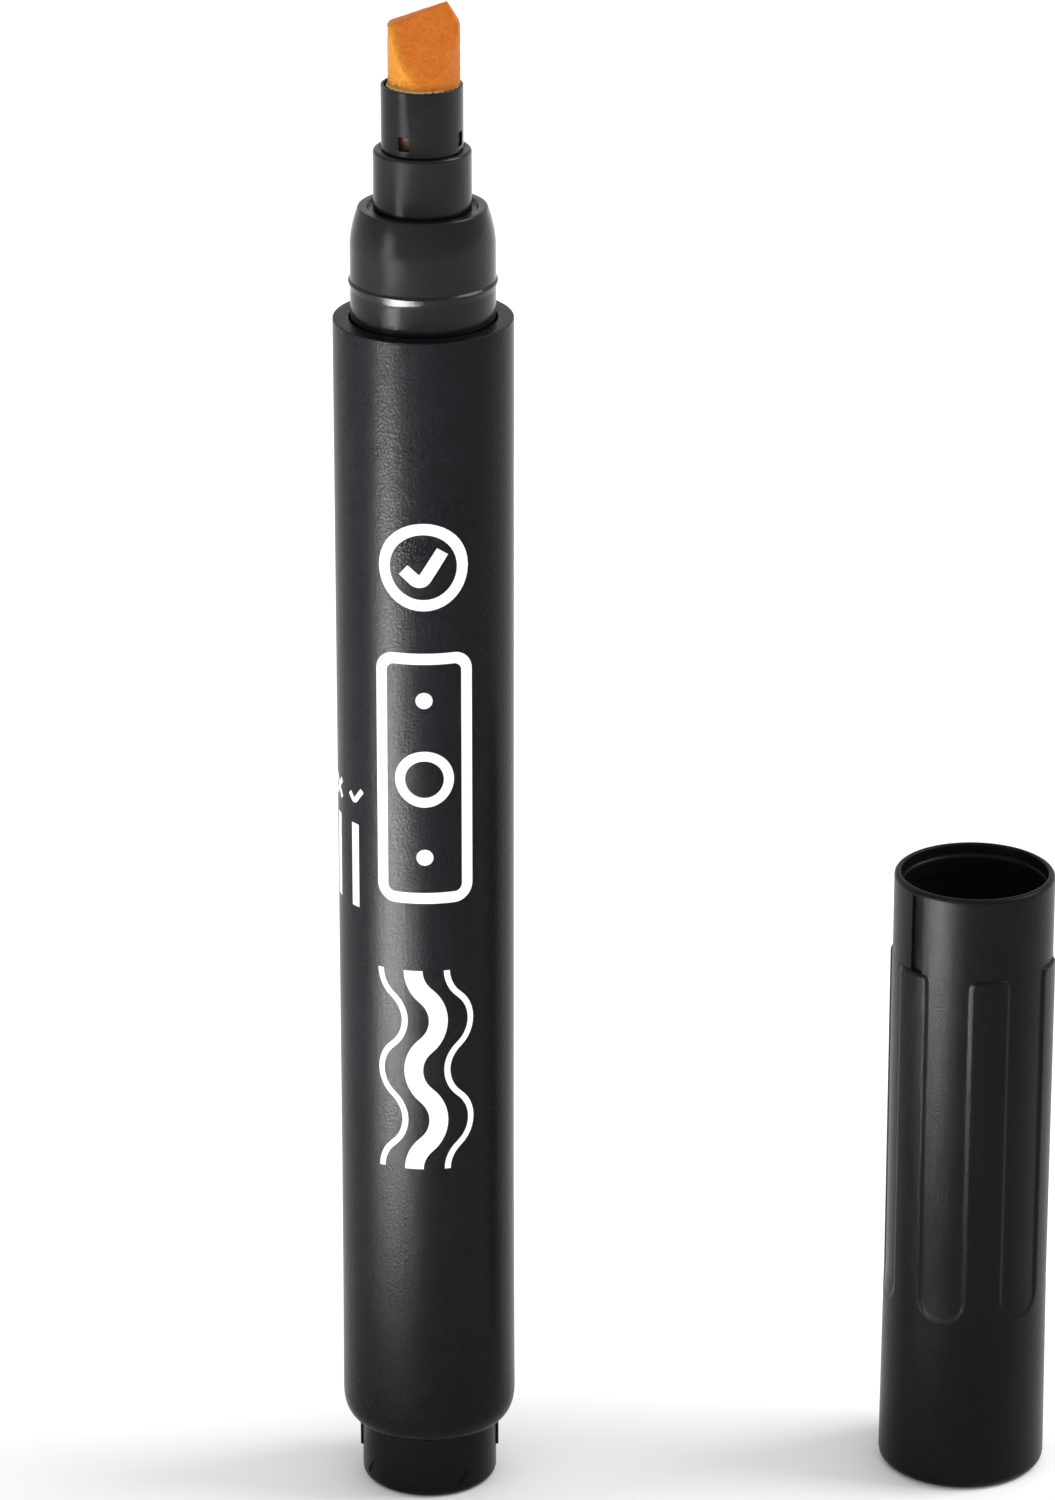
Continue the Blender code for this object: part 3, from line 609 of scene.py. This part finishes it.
felt, sockets, place = material("amber_felt", {"Roughness": 0.85, "Specular IOR Level": 0.15,
                                              "Sheen Weight": 0.1, "Sheen Roughness": 0.5})
split = place.node("ShaderNodeSeparateXYZ", {}, {"Vector": place}, "X")
deep, up = Signal(split.socket.node.outputs["Y"]), Signal(split.socket.node.outputs["Z"])
across = split - NIB_AXIS
from_axis = split.maths("SQRT", across * across + deep * deep)
# the felt's rounded side is yellower than its cut faces, but the yellow is drawn only on the left of the
# nib, where the light falls: partly the felt's own tone, partly painted light
rounded = from_axis.ramp(2.1 * MM, 2.5 * MM) * (1.0 - across.ramp(-1.6 * MM, 0.6 * MM))
foot = 1.0 - up.ramp(section_high.z - 0.1 * MM, section_high.z + 1.1 * MM)
tucked = 1.0 - up.ramp(section_high.z + 0.06 * MM, section_high.z + 0.12 * MM)
# painted shade: the felt below the socket's rim, inside the bore, is drawn near black
shaded_in_socket = 1.0 - up.ramp(section_high.z - 1.6 * MM, section_high.z - 0.4 * MM)
fibres = place.grain(0.12 * MM, 3.0)
tufts = place.grain(0.45 * MM, 2.0)
pores = 1.0 - place.grain(0.17 * MM, 1.0).ramp(0.30, 0.42)
fine = 0.6 * fibres + 0.4 * tufts
spread = fine.ramp(0.3, 0.7)
orange = spread.between((0.36, 0.088, 0.006, 1.0), (0.48, 0.128, 0.011, 1.0))
yellow = spread.between((0.40, 0.140, 0.009, 1.0), (0.52, 0.215, 0.018, 1.0))
blotches = foot * tufts.ramp(0.35, 0.65) * 0.8
soaked = blotches.between(rounded.between(orange, yellow), (0.25, 0.09, 0.008, 1.0))
speckled = (pores * 0.35).between(soaked, (0.28, 0.07, 0.008, 1.0))
# painted highlight: the beads of felt squeezed up at the socket's rim are drawn cream, as glints of light on
# them
bead_glints = (tucked * from_axis.ramp(NIB_RADIUS - 0.02 * MM, NIB_RADIUS + 0.04 * MM)).between(
    speckled, (0.62, 0.44, 0.20, 1.0))
feed(sockets, Base_Color=shaded_in_socket.between(bead_glints, (0.035, 0.014, 0.006, 1.0)),
     Normal=(fibres + tufts - pores).bump(0.6, 0.05 * MM))
piece("nib_chisel", shape, felt, "pen", "amber_felt", "nib", sharp=70.0)


# Ink store: a core of bonded fibre with the ink in it, wrapped in clear film that overlaps in one seam.
# Both are inside the barrel, and nothing of them shows from outside.
fibre_low, fibre_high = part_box("reservoir_fibre")
film_low, film_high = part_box("reservoir_film")
STORE_LENGTH = fibre_high.z - fibre_low.z
FIBRE_RADIUS = fibre_high.x
FILM_RADIUS = film_high.x
STORE_HOLE = 2.92 * MM
STORE_HOLE_DEPTH = 9.3 * MM
FILM_WALL = 0.15 * MM
SEAM_SPREAD = 16.0
STORE_STEPS = 96

fibre_finish, sockets, place = material("ink_soaked_fibre", {"Roughness": 0.9, "Specular IOR Level": 0.15})
strands = place.grain(0.12 * MM, 2.0, (1.0, 1.0, 0.05))
feed(sockets, Base_Color=strands.ramp(0.3, 0.7).between((0.42, 0.16, 0.04, 1.0), (0.68, 0.34, 0.13, 1.0)),
     Normal=strands.bump(0.6, 0.04 * MM))
outline = [(0.0, STORE_LENGTH - STORE_HOLE_DEPTH), (STORE_HOLE, STORE_LENGTH - STORE_HOLE_DEPTH, 0.2 * MM)]
outline += [(STORE_HOLE, STORE_LENGTH, 0.15 * MM), (FIBRE_RADIUS, STORE_LENGTH, 0.15 * MM)]
outline += [(FIBRE_RADIUS, 0.0, 0.15 * MM), (0.0, 0.0)]
piece("ink_store_core", turned(outline, STORE_STEPS, fibre_low.z), fibre_finish, "pen", "ink_fibre",
      "reservoir_fibre")

film_finish, sockets, place = material("clear_film", {"Roughness": 0.2, "Alpha": 0.45})
feed(sockets, Base_Color=place.grain(4.0 * MM).between((0.72, 0.72, 0.69, 1.0), (0.80, 0.80, 0.77, 1.0)))
outline = [(FILM_RADIUS, STORE_LENGTH), (FILM_RADIUS, 0.0), (FILM_RADIUS - FILM_WALL, 0.0)]
outline += [(FILM_RADIUS - FILM_WALL, STORE_LENGTH)]
shape = turned(outline, STORE_STEPS, film_low.z)
seam = wall_faces(shape, FILM_RADIUS, film_low.z, film_high.z, (180.0,), SEAM_SPREAD)
raise_faces(shape, seam, FILM_RADIUS, FILM_RADIUS + 0.05 * MM)
piece("ink_store_film", shape, film_finish, "pen", "clear_film", "reservoir_film")


# Cap: a black cup in fine-grained polypropylene that stands on its closed end. A plain band under the
# rounded rim has one shallow slot; below it six grip panels are sunk level with the band, between broad
# lands, and run out in rounded feet. Inside are a snap bead under the rim and six ribs round the liner.
cap_low, cap_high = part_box("cap_shell")
CAP_CENTRE = (cap_low + cap_high) / 2
CAP_LENGTH = cap_high.z - cap_low.z
CAP_END_RADIUS = (cap_high.x - cap_low.x) / 2
CAP_EDGE = 0.76 * MM
CAP_BORE = 5.45 * MM
CAP_FLOOR = 1.4 * MM
CAP_RADIUS = 5.97 * MM  # the plain band
CAP_BODY = 6.17 * MM  # the lands, where they meet the band
CAP_STEPS = 360
CAP_FIRST = 0.5
COLLAR_FOOT = CAP_LENGTH - 6.45 * MM
SLOT_TOP = COLLAR_FOOT + 6.0 * MM
SLOT_AZIMUTH = -48.0
SLOT_SPREAD = 11.5
SLOT_DEPTH = 0.3 * MM
SNAP_BORE = CAP_BORE - 0.15 * MM
LINER_SEAT = CAP_LENGTH - 9.55 * MM
CAP_RIB_FOOT = 1.9 * MM
CAP_RIB_TIP = 4.27 * MM
CAP_RIB_SPREAD = 7.5
PANEL_FOOT = 13.8 * MM
PANEL_AZIMUTH = 39.0
PANEL_PITCH = 60.0
PANEL_SPREAD = 35.5
PANEL_CORNER = 1.8 * MM
PANEL_EDGE = 0.30 * MM
PANEL_RUN_OUT = 2.6 * MM
PANEL_PROUD = 0.02 * MM  # what the sunk panels still stand above the band
LAND_CORNER = 0.65 * MM

outline = [(0.0, 0.06 * MM), (0.7 * MM, 0.06 * MM, 0.05 * MM), (0.8 * MM, 0.15 * MM, 0.05 * MM)]
outline += [(4.9 * MM, 0.15 * MM, 0.05 * MM), (5.0 * MM, 0.0, 0.05 * MM), (CAP_END_RADIUS, 0.0, CAP_EDGE)]
outline += [(CAP_BODY, PANEL_FOOT + 0.1 * MM * row) for row in range(32)]
outline += [(CAP_BODY, COLLAR_FOOT - 1.0 * MM + 0.1 * MM * row) for row in range(9)]
outline += [(CAP_BODY - 0.03 * MM, COLLAR_FOOT - 0.12 * MM), (CAP_BODY - 0.09 * MM, COLLAR_FOOT - 0.05 * MM)]
outline += [(CAP_RADIUS, COLLAR_FOOT), (CAP_RADIUS, SLOT_TOP), (CAP_RADIUS, CAP_LENGTH, 0.33 * MM)]
outline += [(CAP_BORE, CAP_LENGTH, 0.16 * MM), (CAP_BORE, CAP_LENGTH - 0.85 * MM, 0.1 * MM)]
outline += [(SNAP_BORE, CAP_LENGTH - 1.0 * MM, 0.08 * MM), (SNAP_BORE, CAP_LENGTH - 2.2 * MM, 0.08 * MM)]
outline += [(CAP_BORE, CAP_LENGTH - 2.4 * MM, 0.1 * MM), (CAP_BORE, LINER_SEAT), (CAP_BORE, CAP_RIB_FOOT)]
outline += [(CAP_BORE, CAP_FLOOR, 0.3 * MM), (0.0, CAP_FLOOR)]
shape = turned(outline, CAP_STEPS, cap_low.z, CAP_FIRST)

# Each point of the body goes in by how far it is inside a panel's outline: round corners at the panel's
# foot, round corners on the lands at its open top, and a floor that rises towards the foot.
half_panel = math.radians(PANEL_SPREAD / 2) * CAP_BODY
for vert in shape.verts:
    level = vert.co.z - cap_low.z
    proud = vert.co.xy.length - CAP_RADIUS
    if proud > 0.001 * MM and PANEL_FOOT < level < COLLAR_FOOT:
        turn = abs((azimuth_of(vert.co) - PANEL_AZIMUTH + PANEL_PITCH / 2) % PANEL_PITCH - PANEL_PITCH / 2)
        inside = half_panel - math.radians(turn) * CAP_BODY
        lower = Vector((max(0.0, PANEL_CORNER - inside), max(0.0, PANEL_FOOT + PANEL_CORNER - level)))
        upper = Vector((max(0.0, LAND_CORNER + inside), max(0.0, level - COLLAR_FOOT + LAND_CORNER)))
        if lower.y > 0.0:
            inside = PANEL_CORNER - lower.length
        elif upper.y > 0.0:
            inside = upper.length - LAND_CORNER
        sunk = min(1.0, max(0.0, inside / PANEL_EDGE))
        run_out = min(1.0, (level - PANEL_FOOT) / PANEL_RUN_OUT)
        sunk *= 0.4 + 0.6 * run_out * run_out * (3.0 - 2.0 * run_out)
        ratio = 1.0 - (proud - PANEL_PROUD) * sunk / vert.co.xy.length
        vert.co.x *= ratio
        vert.co.y *= ratio

pocket = wall_faces(shape, CAP_RADIUS, cap_low.z + COLLAR_FOOT, cap_low.z + SLOT_TOP, (SLOT_AZIMUTH,),
                    SLOT_SPREAD)
raise_faces(shape, pocket, CAP_RADIUS, CAP_RADIUS - SLOT_DEPTH)
ribs = wall_faces(shape, CAP_BORE, cap_low.z + CAP_RIB_FOOT, cap_low.z + LINER_SEAT, RIB_AZIMUTHS,
                  CAP_RIB_SPREAD)
raise_faces(shape, ribs, CAP_BORE, CAP_RIB_TIP)
bmesh.ops.translate(shape, vec=(CAP_CENTRE.x, CAP_CENTRE.y, 0.0), verts=shape.verts)

grained, sockets, place = material("grained_polypropylene", {"Specular IOR Level": 0.075, "IOR": 1.49})
erosion = place.grain(0.16 * MM, 3.0)
touch = place.grain(6.0 * MM, 3.0)
feed(sockets, Base_Color=touch.between((0.0026, 0.0031, 0.0034, 1.0), (0.0036, 0.0043, 0.0047, 1.0)),
     Roughness=0.25 + 0.08 * erosion + 0.05 * touch,
     Normal=erosion.bump(0.6, 0.04 * MM))
piece("cap_cup", shape, grained, "cap", "grained_black", "cap_shell")


# Liner: a cup of natural polythene, held on the ribs deep in the cap by its flange. Its bore slides over
# the collar when the cap is on, and keeps the ink from drying.
liner_low, liner_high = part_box("inner_cap")
LINER_LENGTH = liner_high.z - liner_low.z
LINER_BORE = 3.57 * MM
LINER_RADIUS = 4.17 * MM
LINER_FLOOR = 0.6 * MM
FLANGE_RADIUS = (liner_high.x - liner_low.x) / 2
FLANGE_FOOT = LINER_LENGTH - 0.8 * MM

outline = [(0.0, LINER_FLOOR), (LINER_BORE, LINER_FLOOR, 0.4 * MM), (LINER_BORE, LINER_LENGTH, 0.2 * MM)]
outline += [(FLANGE_RADIUS, LINER_LENGTH, 0.12 * MM), (FLANGE_RADIUS, FLANGE_FOOT, 0.12 * MM)]
outline += [(LINER_RADIUS, FLANGE_FOOT, 0.1 * MM), (LINER_RADIUS, 0.0, 0.4 * MM), (0.0, 0.0)]
shape = turned(outline, BARREL_STEPS, liner_low.z)
bmesh.ops.translate(shape, vec=(CAP_CENTRE.x, CAP_CENTRE.y, 0.0), verts=shape.verts)

natural, sockets, place = material("natural_polythene", {"Specular IOR Level": 0.4})
cloud = place.grain(2.0 * MM, 3.0)
feed(sockets, Base_Color=cloud.between((0.50, 0.51, 0.49, 1.0), (0.58, 0.59, 0.57, 1.0)),
     Roughness=0.32 + 0.12 * cloud,
     Normal=cloud.bump(0.2, 0.02 * MM))
piece("cap_liner", shape, natural, "cap", "natural_liner", "inner_cap")
